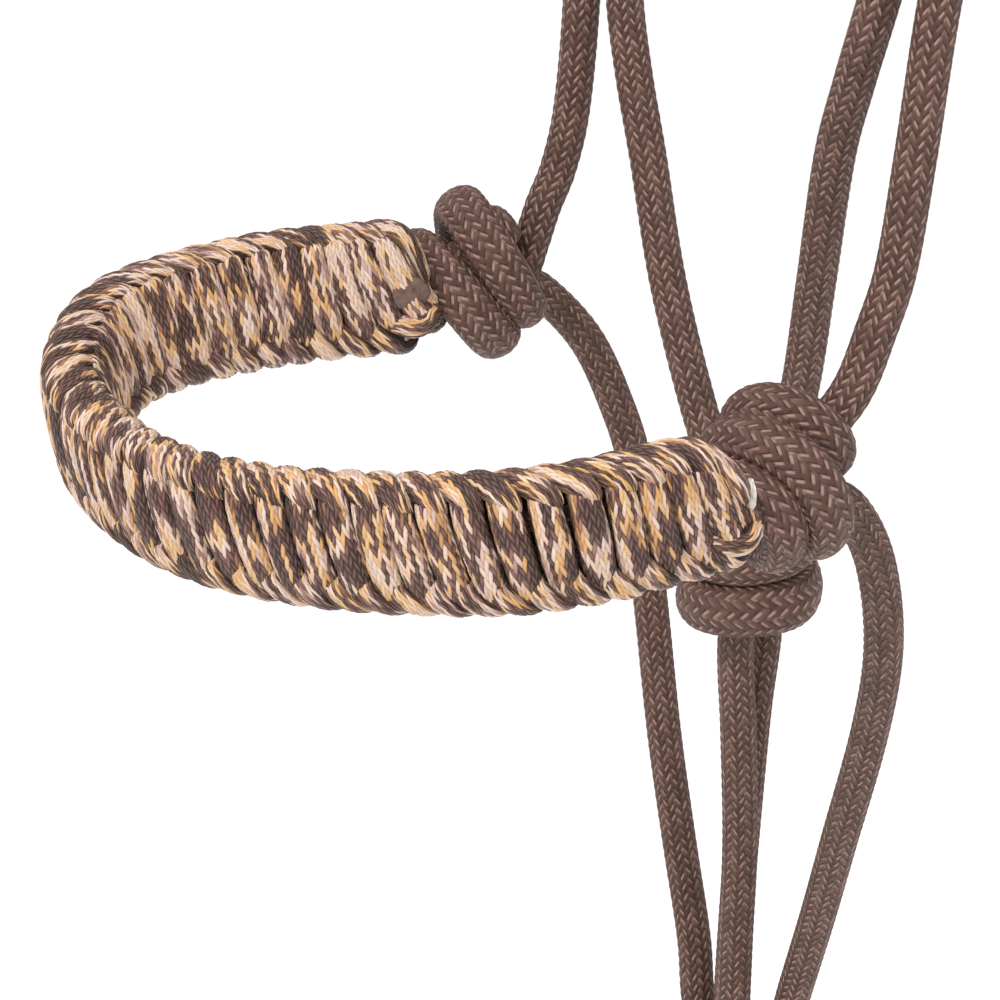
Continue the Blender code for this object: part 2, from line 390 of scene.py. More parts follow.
class Number:
    """A number in a material's nodes, which takes + - * and the functions below."""

    def __init__(self, tree, socket):
        self.tree, self.socket = tree, socket

    def calc(self, operation, *others):
        node = self.tree.nodes.new("ShaderNodeMath")
        node.operation = operation
        for slot, value in zip(node.inputs, (self, *others)):
            if isinstance(value, Number):
                self.tree.links.new(value.socket, slot)
            else:
                slot.default_value = value
        return Number(self.tree, node.outputs[0])

    def __add__(self, other):
        return self.calc("ADD", other)

    def __sub__(self, other):
        return self.calc("SUBTRACT", other)

    def __mul__(self, other):
        return self.calc("MULTIPLY", other)

    def floor(self):
        return self.calc("FLOOR")

    def rounded(self):
        return (self + 0.5).floor()

    def absolute(self):
        return self.calc("ABSOLUTE")

    def cosine(self):
        return self.calc("COSINE")

    def sine(self):
        return self.calc("SINE")

    def at_least(self, other):
        return self.calc("MAXIMUM", other)

    def above(self, other):
        return self.calc("GREATER_THAN", other)

    def between(self, low, high):
        """0 below low, 1 above high and smooth between, or the other way round."""
        node = self.tree.nodes.new("ShaderNodeMapRange")
        node.interpolation_type = "SMOOTHSTEP"
        self.tree.links.new(self.socket, node.inputs["Value"])
        node.inputs["From Min"].default_value = low
        node.inputs["From Max"].default_value = high
        return Number(self.tree, node.outputs["Result"])

    def or_else(self, other, choice):
        """This number where choice is 1 and the other where it is 0."""
        return other + (self - other) * choice


def combined(tree, x, y, z=0.0):
    """A vector of numbers or plain values."""
    node = tree.nodes.new("ShaderNodeCombineXYZ")
    for slot, value in zip(node.inputs, (x, y, z)):
        if isinstance(value, Number):
            tree.links.new(value.socket, slot)
        else:
            slot.default_value = value
    return node.outputs[0]


def noise(tree, vector, scale, detail=0.0):
    node = tree.nodes.new("ShaderNodeTexNoise")
    tree.links.new(vector, node.inputs["Vector"])
    node.inputs["Scale"].default_value = scale
    node.inputs["Detail"].default_value = detail
    return Number(tree, node.outputs["Fac"])


def chance(tree, vector):
    node = tree.nodes.new("ShaderNodeTexWhiteNoise")
    node.noise_dimensions = "3D"
    tree.links.new(vector, node.inputs["Vector"])
    return Number(tree, node.outputs["Value"])


def ramp(tree, value, stops):
    """A colour from a number, by (position, screen colour) stops."""
    node = tree.nodes.new("ShaderNodeValToRGB")
    elements = node.color_ramp.elements
    while len(elements) < len(stops):
        elements.new(0.5)
    for element, (position, colour) in zip(elements, stops):
        element.position = position
        element.color = (*linear(colour), 1.0)
    tree.links.new(value.socket, node.inputs["Fac"])
    return node.outputs["Color"]


def linear(colour):
    """Linear red, green and blue from a colour in screen values of 0 to 255."""
    return [((c / 255 + 0.055) / 1.055) ** 2.4 if c > 10 else c / 255 / 12.92 for c in colour]


def blended(tree, kind, share, one, other):
    """Two colours mixed; each is a socket or a screen colour."""
    node = tree.nodes.new("ShaderNodeMix")
    node.data_type = "RGBA"
    node.blend_type = kind
    share_slot, one_slot, other_slot = node.inputs[0], node.inputs[6], node.inputs[7]
    if isinstance(share, Number):
        tree.links.new(share.socket, share_slot)
    else:
        share_slot.default_value = share
    for slot, value in ((one_slot, one), (other_slot, other)):
        if isinstance(value, (tuple, list)):
            slot.default_value = (*linear(value), 1.0)
        else:
            tree.links.new(value, slot)
    return node.outputs[2]


def new_material(name, roughness):
    """A material with its shader, for nodes to be added to."""
    material = bpy.data.materials.new(name)
    material.use_nodes = True
    shader = material.node_tree.nodes["Principled BSDF"]
    shader.inputs["Roughness"].default_value = roughness
    shader.inputs["Specular IOR Level"].default_value = 0.3
    return material, material.node_tree, shader


class Weave:
    """Where a point is on a braid's topmost yarn, from the mesh's braid coordinates."""

    def __init__(self, tree, braid):
        source = tree.nodes.new("ShaderNodeUVMap")
        source.uv_map = "braid"
        split = tree.nodes.new("ShaderNodeSeparateXYZ")
        tree.links.new(source.outputs["UV"], split.inputs[0])
        a, b = Number(tree, split.outputs[0]), Number(tree, split.outputs[1])
        over, under = a.rounded(), b.rounded()
        rise, fall = a - over, b - under
        rising = over + b - 0.5
        falling = a + under - 2.5
        quarter = math.pi / 2
        high = self.crest(rise, braid) + (rising * quarter).cosine() * braid.swing
        low = self.crest(fall, braid) + (falling * quarter).cosine() * braid.swing
        half = braid.carriers / 2
        rising_float = (rising * 0.25).rounded() * 4.0
        falling_float = (falling * 0.25).rounded() * 4.0
        self.top = high.above(low)
        self.height = high.at_least(low)
        self.across = rise.or_else(fall * -1.0, self.top)
        # Along the float, from its middle towards the tube's far end.
        self.ahead = (rising_float - rising).or_else(falling - falling_float, self.top)
        # Floats are counted in half cells along the tube.
        self.place = (over * 2.0 - rising_float).or_else(
            falling_float - under * 2.0 + 3.0, self.top
        )
        step = math.tau / braid.carriers
        self.turn = (rising_float + 0.5).or_else(falling_float + 2.5, self.top) * step
        # Round the tube, from its flat side's middle
        self.angle = (a + b) * step
        self.carrier = over.calc("FLOORED_MODULO", half).or_else(
            under.calc("FLOORED_MODULO", half) + half, self.top
        )

    def crest(self, across, braid):
        scaled = across * YARN_NARROWNESS
        return (scaled * scaled * -1.0 + 1.0).at_least(0.0).calc("SQRT") * braid.depth


def bump(tree, shader, height, strength):
    node = tree.nodes.new("ShaderNodeBump")
    node.inputs["Strength"].default_value = strength
    node.inputs["Distance"].default_value = MM
    tree.links.new(height.socket, node.inputs["Height"])
    tree.links.new(node.outputs["Normal"], shader.inputs["Normal"])


def rope_finish():
    """Brown braid with painted highlights where its yarns rise into view, and painted shade in
    its hollows.
    """
    material, tree, shader = new_material("rope_brown", 0.55)
    weave = Weave(tree, ROPE)
    luck = chance(tree, combined(tree, weave.carrier, weave.place))
    more_luck = chance(tree, combined(tree, weave.carrier, weave.place, 7.3))
    # Painted highlight: a short pale streak along the upper side of some floats.
    painted_highlight_stripe = (weave.across - 0.22).absolute().between(0.21, 0.10)
    painted_highlight_stripe = painted_highlight_stripe * (weave.ahead - 0.2).absolute().between(0.66, 0.34)
    painted_highlight_stripe = painted_highlight_stripe * more_luck.between(-0.3, 0.7)
    # Painted highlight: a short pale tick at one end of each float, where it bends under and
    # faces the light.
    rise = (weave.ahead - 0.92).absolute().between(0.26, 0.10)
    rise = rise * weave.across.absolute().between(0.46, 0.26) * luck.between(0.35, 0.9)
    painted_highlights = painted_highlight_stripe.at_least(rise * 0.75)
    # Painted light: each float grows lighter towards one end, as if lit from above.
    painted_glow = weave.ahead.between(-0.6, 1.2)
    ground = ramp(tree, luck, ((0.0, (68, 43, 34)), (0.5, (80, 53, 43)), (1.0, (95, 66, 55))))
    fibres = (weave.across * (math.tau * 5)).cosine()
    # The yarn's own fibre lines and the painted light above both lighten the ground colour.
    fibre_lines_and_painted_glow = fibres.between(-1.0, 1.0) * 0.2 + painted_glow * 0.1
    ground = blended(tree, "MIX", fibre_lines_and_painted_glow, ground, (150, 120, 108))
    # The painted highlights, in a pale brown.
    colour = blended(tree, "MIX", painted_highlights * 0.76, ground, (170, 138, 126))
    # Painted shade: darker where the braid is lowest, in the hollows between yarns.
    painted_crevice_shade_mask = weave.height.between(-0.02, 0.24)
    dark = ramp(tree, painted_crevice_shade_mask, ((0.0, (74, 54, 48)), (1.0, (255, 255, 255))))
    colour = blended(tree, "MULTIPLY", 0.95, colour, dark)
    tree.links.new(colour, shader.inputs["Base Color"])
    bump(tree, shader, weave.height * 1.4 + fibres * 0.025 + painted_highlights * 0.03, 1.0)
    return material


def cord_finish():
    """Space-dyed cord: the yarns run through browns, gold, peach and a pink cream; highlights and
    shade are painted on.
    """
    material, tree, shader = new_material("cord_desert", 0.36)
    weave = Weave(tree, CORD)
    millimetres = weave.place * (CORD.cell / 2)
    around = (weave.turn.cosine() * 0.42, weave.turn.sine() * 0.42)
    patches = noise(tree, combined(tree, millimetres * 0.125, *around), 1.0)
    streaked = (weave.turn.cosine() * 2.4, weave.turn.sine() * 2.4)
    streaks = noise(tree, combined(tree, millimetres * 0.14, *streaked), 1.0)
    luck = chance(tree, combined(tree, weave.carrier, weave.place))
    value = (patches - 0.5) * 1.7 + (streaks - 0.5) * 1.35 + (luck - 0.5) * 0.09 + 0.507
    colour = ramp(
        tree,
        value,
        (
            (0.00, (64, 41, 36)),
            (0.20, (80, 52, 48)),
            (0.335, (102, 67, 60)),
            (0.37, (156, 108, 84)),
            (0.40, (224, 170, 104)),
            (0.475, (236, 190, 138)),
            (0.56, (240, 206, 176)),
            (0.65, (240, 214, 200)),
            (0.745, (214, 176, 160)),
            (0.80, (120, 82, 75)),
            (1.00, (74, 48, 43)),
        ),
    )
    fibres = (weave.across * (math.tau * 4)).cosine()
    shade = fibres.between(1.0, -1.0) * 0.16
    colour = blended(tree, "MIX", shade, colour, (84, 52, 44))
    # Painted highlight: each float lighter in its middle, fading towards its ends and sides.
    painted_glow = weave.ahead.absolute().between(1.1, 0.1) * weave.across.absolute().between(0.4, 0.0)
    colour = blended(tree, "MIX", painted_glow * 0.13, colour, (255, 234, 212))
    # Painted shade: darker where the braid is lowest, in the hollows between yarns.
    painted_crevice_shade_mask = weave.height.between(-0.02, 0.22)
    dark = ramp(tree, painted_crevice_shade_mask, ((0.0, (84, 56, 44)), (1.0, (255, 255, 255))))
    colour = blended(tree, "MULTIPLY", 0.95, colour, dark)
    # Painted shade: darker at the tube's two sides, in the grooves where neighbouring passes of
    # the cord touch.
    painted_groove_shade = weave.angle.sine().absolute().between(0.84, 1.0)
    colour = blended(tree, "MULTIPLY", painted_groove_shade * 0.85, colour, (98, 66, 54))
    tree.links.new(colour, shader.inputs["Base Color"])
    bump(tree, shader, weave.height * 1.0 + fibres * 0.02, 1.0)
    return material


def melted_finish(name, colour):
    """Cord or rope melted shut: smooth and a little uneven in colour."""
    material, tree, shader = new_material(name, 0.28)
    coordinates = tree.nodes.new("ShaderNodeTexCoord")
    lumps = noise(tree, coordinates.outputs["Object"], 900.0, 3.0)
    shade = ramp(tree, lumps, ((0.3, [c * 0.7 for c in colour]), (0.7, colour)))
    tree.links.new(shade, shader.inputs["Base Color"])
    bump(tree, shader, lumps * 0.25, 1.0)
    return material


# Knots


def coil(shape, middle, axis, front, table):
    """Turns of flattened rope about an axis, as (angle, height, reach, sideways, half width).

    Angles are in degrees from the front and grow towards axis x front. The rope's far end is at
    the table's first row.
    """
    axis = unit(np.array(axis, float))
    front = np.array(front, float)
    front = unit(front - axis * np.dot(front, axis))
    side = np.cross(axis, front)
    table = np.array(table, float)
    count = round((table[-1, 0] - table[0, 0]) / 10)
    angles = np.linspace(table[0, 0], table[-1, 0], count)
    rows = through(table[:, [0, 1, 2]], 2.0), through(table[:, [0, 3, 4]], 2.0)
    height, reach = (np.interp(angles, rows[0][:, 0], rows[0][:, k]) for k in (1, 2))
    sideways, wide = (np.interp(angles, rows[1][:, 0], rows[1][:, k]) for k in (1, 2))
    turned = np.radians(angles)
    route = (
        np.array(middle, float)
        + height[:, None] * axis
        + (reach * np.cos(turned))[:, None] * front
        + (reach * np.sin(turned) + sideways)[:, None] * side
    )
    line = through(route[::-1], ROPE.step * 0.9)
    out = line - np.array(middle, float)
    out = out - (out @ axis)[:, None] * axis
    places = np.linspace(0, 1, len(line))
    wide = np.interp(places, np.linspace(0, 1, count), wide[::-1])
    shape.tube(line, ROPE, KNOT_THICK, wide, normals=unit(out))


def even_turns(start, end, radius, rise, wide, tuck=70.0):
    """The table of a coil that climbs evenly and turns in at its ends."""
    middle = (start + end) / 2
    rows = []
    for angle in np.linspace(start, end, max(6, round((end - start) / 45))):
        inward = smoothstep(min(angle - start, end - angle) / tuck)
        reach = radius * (0.4 + 0.6 * inward)
        rows.append((angle, rise * (angle - middle) / 360, reach, 0.0, wide))
    return rows


def turks_head(shape, middle, radius, swing, reach):
    """A closed knot of three leads and four bights on a ball."""
    lap = np.linspace(math.pi / 6, math.pi / 6 + math.tau, 160)
    latitude = reach * np.cos(4 * lap)
    out = radius + swing * np.cos(8 * (lap - math.pi / 16))
    direction = np.stack(
        [
            np.cos(latitude) * np.cos(3 * lap),
            np.cos(latitude) * np.sin(3 * lap),
            np.sin(latitude),
        ],
        axis=1,
    )
    route = np.array(middle) + direction * out[:, None]
    line = through(route, ROPE.step)
    shape.tube(line, ROPE, KNOT_THICK, KNOT_WIDE, normals=unit(line - np.array(middle)))


# The noseband's sleeve


# Each end rounds off towards this height, and leans and reaches out over this run
END_HEIGHT = -2.5
END_RUN = 20.0
END_SPARE = 1.5
LEAN_HEIGHT = -8.0
NEAR_LEAN = 0.22
FAR_LEAN = 0.33
NEAR_REACH = 1.7
FAR_REACH = 2.2
# Runs and powers of the ends' rounding: above that height at each end, and below it
NEAR_ROUNDING = (10.0, 1.6)
FAR_ROUNDING = (5.0, 2.0)
LOWER_ROUNDING = (5.5, 2.0)
# The bent middle bulges outwards, and tips inwards below its top
BEND_BULGE = 0.7
BEND_LEAN = 0.13
BEND_TOP = 9.0
THINNESS = 0.85
HALF_THICKNESS = 5.6
HALF_HEIGHT = 10.4
# The section's heights above and below its middle, as shares of the drawn ones
SQUEEZE_AT = (0.0, 0.30, 0.45, 0.62, 0.76, 0.88, 1.0)
SQUEEZE_ABOVE = (0.96, 0.96, 0.92, 0.92, 0.98, 1.0, 1.0)
SQUEEZE_BELOW = (1.0, 0.99, 0.94, 0.90, 0.97, 1.07, 1.1)


def drawn_in(up, inset, rounding):
    """Heights of a section drawn in towards a rounded end."""
    above = up > END_HEIGHT
    run = np.where(above, rounding[0], LOWER_ROUNDING[0])
    power = np.where(above, rounding[1], LOWER_ROUNDING[1])
    share = np.clip(inset / run, 0.07, 1.0)
    return END_HEIGHT + (up - END_HEIGHT) * (1 - (1 - share) ** power) ** (1 / power)


class Sleeve:
    """Section frames along the noseband: outward, upward and along."""

    def __init__(self):
        self.line = through(NOSEBAND_ROUTE, 0.5)
        steps = np.linalg.norm(np.diff(self.line, axis=0), axis=1)
        self.places = np.concatenate([[0.0], np.cumsum(steps)])
        self.length = self.places[-1]
        ahead = unit(np.gradient(self.line, axis=0))
        level = np.zeros(len(ahead))
        self.ahead = ahead
        self.outward = unit(np.stack([-ahead[:, 1], ahead[:, 0], level], axis=1))
        upward = np.cross(self.ahead, self.outward)
        self.upward = upward * np.sign(upward[:, 2:])

    def at(self, table, places):
        inside = np.clip(places, 0.0, self.length)
        return np.stack([np.interp(inside, self.places, table[:, k]) for k in range(3)], axis=1)

    def world(self, section):
        """World points and surface normals of (outward, upward, along) points."""
        out, up, along = np.array(section, float).T
        share = along / self.length
        raised = np.interp(share, SQUEEZE_AT, SQUEEZE_ABOVE)
        lowered = np.interp(share, SQUEEZE_AT, SQUEEZE_BELOW)
        up = up * np.where(up > 0.0, raised, lowered)
        bend = smoothstep(share / 0.4) * smoothstep((1.0 - share) / 0.3)
        across = out
        out = out * THINNESS + (BEND_BULGE - BEND_LEAN * (BEND_TOP - up)) * bend
        near = 1.0 - smoothstep(along / END_RUN)
        far = 1.0 - smoothstep((self.length - along) / END_RUN)
        along = along + (up - LEAN_HEIGHT) * (NEAR_LEAN * near - FAR_LEAN * far)
        along = along - NEAR_REACH * near + FAR_REACH * far
        up = drawn_in(up, along + NEAR_REACH + END_SPARE, NEAR_ROUNDING)
        up = drawn_in(up, self.length - along + FAR_REACH + END_SPARE, FAR_ROUNDING)
        ahead = unit(self.at(self.ahead, along))
        outward = unit(self.at(self.outward, along))
        upward = unit(self.at(self.upward, along))
        beyond = along - np.clip(along, 0.0, self.length)
        points = self.at(self.line, along) + ahead * beyond[:, None]
        points = points + outward * out[:, None] + upward * up[:, None]
        flatness = (across / HALF_THICKNESS)[:, None] ** 3
        steepness = (up / HALF_HEIGHT)[:, None] ** 3
        return points, unit(outward * flatness + upward * steepness)


def bar(shape, sleeve, section, thick, wide, start, swell=0.16, about=None):
    """One pass of the cord, from (outward, upward, along) points of the sleeve's section.

    Its flat side faces out of the section, or away from the place about where one is given.
    """
    rough = through(section, 0.3)
    points, _ = sleeve.world(rough)
    length = np.sum(np.linalg.norm(np.diff(points, axis=0), axis=1))
    count = max(8, round(length / CORD.step))
    places = np.linspace(0, 1, count + 1)
    have = np.linspace(0, 1, len(rough))
    rough = np.stack([np.interp(places, have, rough[:, k]) for k in range(3)], axis=1)
    points, normals = sleeve.world(rough)
    if about is not None:
        normals = unit(points - sleeve.world([about])[0])
    plump = 1 - swell + swell * np.sin(places * math.pi)
    shape.tube(points, CORD, thick * plump, wide * plump, normals, start, rounding=1.4)
    return start + count


SLEEVE_PARTS = ("near", "front", "far")
SLEEVE_MARGIN = 2.0
HALF_TURN = CORD_PITCH / 2
WOBBLE = 0.065
# Passes of the cord, as (outward, upward, along) points
OUTER_BAR = (
    (3.2, -7.8, -1.1),
    (4.0, -5.5, -0.8),
    (4.4, 0.5, 0.0),
    (4.2, 6.6, 0.8),
    (3.0, 9.0, 1.2),
)
UPPER_LOOP = (
    (-3.9, 7.4, 5.4),
    (-3.4, 8.7, 4.4),
    (-1.6, 9.6, 2.8),
    (0.6, 9.7, 1.0),
    (2.6, 9.5, -0.6),
    (4.1, 8.9, -1.9),
    (4.7, 7.8, -2.6),
    (4.0, 6.4, -2.9),
)
INNER_BAR = (
    (-3.0, 8.6, -1.0),
    (-3.9, 6.2, -0.8),
    (-4.4, 0.0, 0.0),
    (-4.0, -4.8, 0.7),
    (-3.0, -7.2, 1.0),
)
LOWER_LOOP = (
    (3.9, -4.8, 3.2),
    (4.8, -6.0, 2.9),
    (4.6, -7.8, 1.6),
    (3.2, -9.2, 0.0),
    (0.2, -9.6, -1.2),
    (-2.8, -9.1, -2.2),
    (-4.7, -7.8, -3.3),
    (-5.0, -6.6, -4.4),
    (-4.0, -5.4, -5.0),
)
# Passes that close the two ends, with the last number beyond the sleeve's end
END_LOOP = (
    (-0.5, 8.8, -0.8),
    (1.8, 8.0, 0.4),
    (3.2, 5.0, 0.9),
    (3.6, 0.5, 1.0),
    (3.2, -4.0, 0.9),
    (1.8, -7.0, 0.6),
    (-0.4, -8.4, -0.2),
)
END_BACK = (
    (-2.6, 8.4, -0.2),
    (0.2, 7.6, 2.0),
    (2.2, 4.4, 3.0),
    (2.9, 0.0, 3.2),
    (2.2, -4.0, 2.9),
    (-0.4, -7.0, 1.7),
    (-2.8, -8.2, 0.0),
)
END_TIE = (
    (4.2, -4.4, -4.2),
    (5.1, -5.4, -1.6),
    (4.8, -6.7, 0.8),
    (3.0, -7.8, 1.9),
    (0.6, -8.6, 1.6),
    (-2.0, -9.0, 0.2),
)


def wobbled(section, along, random):
    """A section moved to its place along the sleeve, a little off as hand weaving is."""
    section = np.array(section, float)
    lean = random.normal(0, WOBBLE)
    section[:, 2] += along + lean + random.normal(0, WOBBLE, len(section)) * 0.5
    section[:, 0] += np.sign(section[:, 0]) * random.normal(0, WOBBLE * 0.5)
    section[:, 1] += random.normal(0, WOBBLE * 0.6)
    return section


def weave_sleeve(sleeve):
    """The four rows of the sleeve: bars on both faces and loops over both edges."""
    random = np.random.default_rng(8)
    # (section, shift along the sleeve, half thickness, half width, swell)
    rows = {
        "noseband_weave_outer": (OUTER_BAR, 0.0, 1.95, 2.48, 0.17),
        "noseband_ridge_upper": (UPPER_LOOP, HALF_TURN, 1.5, 2.38, 0.6),
        "noseband_weave_inner": (INNER_BAR, HALF_TURN, 1.7, 2.46, 0.08),
        "noseband_ridge_lower": (LOWER_LOOP, 0.0, 1.5, 2.6, 0.38),
    }
    woven = sleeve.length - 2 * SLEEVE_MARGIN
    turns = int(woven / CORD_PITCH)
    pitch = woven / turns
    shapes = {(name, part): Shape() for name in rows for part in SLEEVE_PARTS}
    start = 0
    for turn in range(-1, turns + 1):
        part = SLEEVE_PARTS[min(max(turn, 0) * 3 // turns, 2)]
        for name, (section, shift, thick, wide, swell) in rows.items():
            if turn < 0 and shift == 0.0:
                continue
            moved = wobbled(section, SLEEVE_MARGIN + turn * pitch + shift, random)
            start = bar(shapes[name, part], sleeve, moved, thick, wide, start, swell)
    ends = (("near", 0.0, -1.0, 1.0), ("far", sleeve.length, 1.0, -1.0))
    for part, edge, beyond, facing in ends:
        for name, section, height, thick, wide in (
            ("noseband_ridge_upper", END_LOOP, 0.0, 1.5, 2.0),
            ("noseband_weave_inner", END_BACK, 0.0, 1.5, 2.2),
            ("noseband_ridge_lower", END_TIE, -5.5, 1.6, 2.1),
        ):
            about = (0.0, height, edge - beyond * 3.0)
            moved = np.array(section) * (facing, 1.0, beyond) + (0.0, 0.0, edge)
            start = bar(shapes[name, part], sleeve, moved, thick, wide, start, 0.2, about)
    return shapes


# Building

UNEVENNESS = 0.09


def blob(name, middle, axes, half, material, seed):
    """A lump of melted cord: a ball drawn out along three axes and made uneven."""
    shape = bmesh.new()
    bmesh.ops.create_icosphere(shape, subdivisions=4, radius=1.0)
    random = np.random.default_rng(seed)
    waves = random.normal(0, 1.6, (6, 3))
    phases = random.uniform(0, math.tau, 6)
    for vert in shape.verts:
        p = np.array(vert.co)
        p = p * (1 + UNEVENNESS * np.sin(waves @ p * 2.0 + phases).sum() / 2)
        world = np.array(middle) + sum(p[k] * half[k] * np.array(axes[k]) for k in range(3))
        vert.co = world * MM
    mesh = bpy.data.meshes.new(name)
    shape.to_mesh(mesh)
    shape.free()
    mesh.shade_smooth()
    return place(name, mesh, material)


def add_camera():
    data = bpy.data.cameras.new("camera")
    data.angle = math.radians(CAMERA_ANGLE)
    data.clip_start = 0.01
    data.clip_end = 20.0
    camera = bpy.data.objects.new("camera", data)
    bpy.context.scene.collection.objects.link(camera)
    place_at, target = Vector(CAMERA_PLACE) * MM, Vector(CAMERA_TARGET) * MM
    camera.location = place_at
    camera.rotation_euler = (target - place_at).to_track_quat("-Z", "Y").to_euler()
    bpy.context.scene.camera = camera


def add_lamp(name, place_at, width, watts):
    data = bpy.data.lights.new(name, "AREA")
    data.shape = "SQUARE"
    data.size = width * MM
    data.energy = watts
    lamp = bpy.data.objects.new(name, data)
    bpy.context.scene.collection.objects.link(lamp)
    place_at, target = Vector(place_at) * MM, Vector(LIT_PLACE) * MM
    lamp.location = place_at
    lamp.rotation_euler = (target - place_at).to_track_quat("-Z", "Y").to_euler()


def add_studio():
    scene = bpy.context.scene
    scene.view_settings.view_transform = "Standard"
    world = bpy.data.worlds.new("studio")
    scene.world = world
    world.use_nodes = True
    background = world.node_tree.nodes["Background"]
    background.inputs["Color"].default_value = (1.0, 1.0, 1.0, 1.0)
    background.inputs["Strength"].default_value = 0.7
    for lamp in LAMPS:
        add_lamp(*lamp)
    material, tree, shader = new_material("floor_white", 0.9)
    coordinates = tree.nodes.new("ShaderNodeTexCoord")
    speckle = noise(tree, coordinates.outputs["Object"], 40.0, 2.0)
    shade = ramp(tree, speckle, ((0.0, (250, 250, 250)), (1.0, (255, 255, 255))))
    tree.links.new(shade, shader.inputs["Base Color"])
    shader.inputs["Emission Color"].default_value = (1.0, 1.0, 1.0, 1.0)
    shader.inputs["Emission Strength"].default_value = 0.3
    half, z = FLOOR_HALF * MM, FLOOR_HEIGHT * MM
    mesh = bpy.data.meshes.new("floor")
    corners = [(-half, -half, z), (half, -half, z), (half, half, z), (-half, half, z)]
    mesh.from_pydata(corners, [], [(0, 1, 2, 3)])
    floor = place("floor", mesh, material)


def settle(piece, body, nodes):
    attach(piece, body)
    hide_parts(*nodes)


def strand(name, body, route, material, **options):
    """A run of rope that stands for the CAD node of the same name."""
    shape = Shape()
    shape.rope(route, **options)
    piece = shape.piece(name + "_braid", material)
    settle(piece, body, [name])
    return piece


def in_plane(points, y):
    return [(x, y, z) for x, z in points]


def add_tails(rope_brown, melted):
    """The two loose ends after the tie, each with its sealed tip."""
    for side, offset in (("front", -PAIR_HALF_SPACING), ("rear", PAIR_HALF_SPACING)):
        y = TIE_KNOT[1] + offset
        route = [(54.5, TIE_KNOT[1] + offset * 0.8, -104.5)] + in_plane(TAIL, y)
        tail = strand("crown_tail_" + side, "tails", route, rope_brown, braid=PLAIN_ROPE)
        x, z = TAIL[-1]
        shape = Shape()
        tip_route = [(x, y, z - 0.4 - share * TAIL_TIP_LENGTH) for share in (0.0, 0.5, 0.8)]
        shape.rope(tip_route, rounding=1.8)
        tip = shape.piece("tail_tip_" + side + "_sealed", melted)
        settle(tip, "tails", ["tail_tip_" + side])
        path = through(route, 3.0)


def toward(point, other, share):
    return tuple(np.array(point) + (np.array(other) - np.array(point)) * share)


# Axes about which the nose knots are coiled
NEAR_AXIS = (-0.255, 0.84, 0.467)
FAR_AXIS = (0.194, 0.843, 0.492)
# The side from which the turns of the nose and jaw knots are counted
KNOT_FRONT = (0.7799, -0.4397, 0.4454)
# The strands bunched in the right nose knot's hollow
HEART_RADIUS = 5.7
HEART_REACH = 3.0


def along_axis(middle, axis, distance):
    return tuple(np.array(middle) + unit(np.array(axis, float)) * distance)


def mirrored(point):
    return (-point[0], point[1], point[2])


def add_strands(rope_brown):
    far_nose = mirrored(NOSE_KNOT)
    far_throat = mirrored(THROAT_KNOT)
    # Cheeks run up from the nose knots and the other strands are drawn upwards too.
    into_left = [along_axis(NOSE_KNOT, NEAR_AXIS, -4.0), along_axis(NOSE_KNOT, NEAR_AXIS, 5.0)]
    into_right = [(-46.5, -22.5, -303.0), (-46.5, -18.2, -298.5), (-46.5, -15.9, -292.8)]
    for name, route, inside, throat in (
        ("cheek_strand_left", CHEEK_LEFT, into_left, THROAT_KNOT),
        ("cheek_strand_right", CHEEK_RIGHT, into_right, far_throat),
    ):
        beyond = [(route[-1][0], route[-1][1], throat[2] - 4.0)]
        strand(name, "head", inside + list(route) + beyond, rope_brown)
    for name, route, throat in (
        ("throat_strand_left", THROAT_LEFT, THROAT_KNOT),
        ("throat_strand_right", THROAT_RIGHT, far_throat),
    ):
        above = [(route[0][0], route[0][1] * 0.8, throat[2] - 4.0)]
        below = [(route[-1][0] * 0.7, route[-1][1], JAW_KNOT[2] + 3.0)]
        strand(name, "head", (above + list(route) + below)[::-1], rope_brown)
    for name, route in (("jaw_strand_front", JAW_FRONT), ("jaw_strand_rear", JAW_REAR)):
        above = [(route[0][0], route[0][1] * 0.8, JAW_KNOT[2])]
        below = [(route[-1][0], route[-1][1], FIADOR_KNOT[2] + 3.0)]
        strand(name, "head", (above + list(route) + below)[::-1], rope_brown)
    for name, route, nose in (
        ("chin_strand_left", CHIN_LEFT, NOSE_KNOT),
        ("chin_strand_right", CHIN_RIGHT, far_nose),
    ):
        above = [toward(nose, route[0], 0.1), toward(nose, route[0], 0.55)]
        below = [(route[-1][0] * 0.75, route[-1][1] * 0.7, FIADOR_KNOT[2] + 8.0)]
        strand(name, "head", (above + list(route) + below)[::-1], rope_brown)
    for side, offset in (("front", -PAIR_HALF_SPACING), ("rear", PAIR_HALF_SPACING)):
        x, y, z = far_throat
        start = [(x, y + offset * 0.7, z + 2.0), (CROWN_ARCH[0][0], y + offset, CROWN_ARCH[0][1])]
        x, y, z = TIE_KNOT
        end = [(CROWN_ARCH[-1][0], y + offset, CROWN_ARCH[-1][1]), (x, y + offset * 0.8, z + 3.0)]
        arch = start + in_plane(CROWN_ARCH[1:-1], offset) + end
        strand("crown_strand_" + side, "crown", arch, rope_brown, braid=PLAIN_ROPE)
        leg = [(x, y + offset * spread, z) for x, y, spread, z in TIE_LOOP_LEG]
        strand("tie_loop_leg_" + side, "crown", leg, rope_brown, braid=PLAIN_ROPE)
    x, y, z = FIADOR_KNOT
    for side, offset in (("left", PAIR_HALF_SPACING), ("right", -PAIR_HALF_SPACING)):
        points = [(x + offset, y + across, z - 1.2 + up) for across, up in LEAD_LOOP]
        first, last = (x + offset, y - 4.0, z - 5.0), (x + offset, y + 4.0, z - 5.0)
        strand("lead_loop_" + side, "lead_loop_" + side, [first] + points + [last], rope_brown)


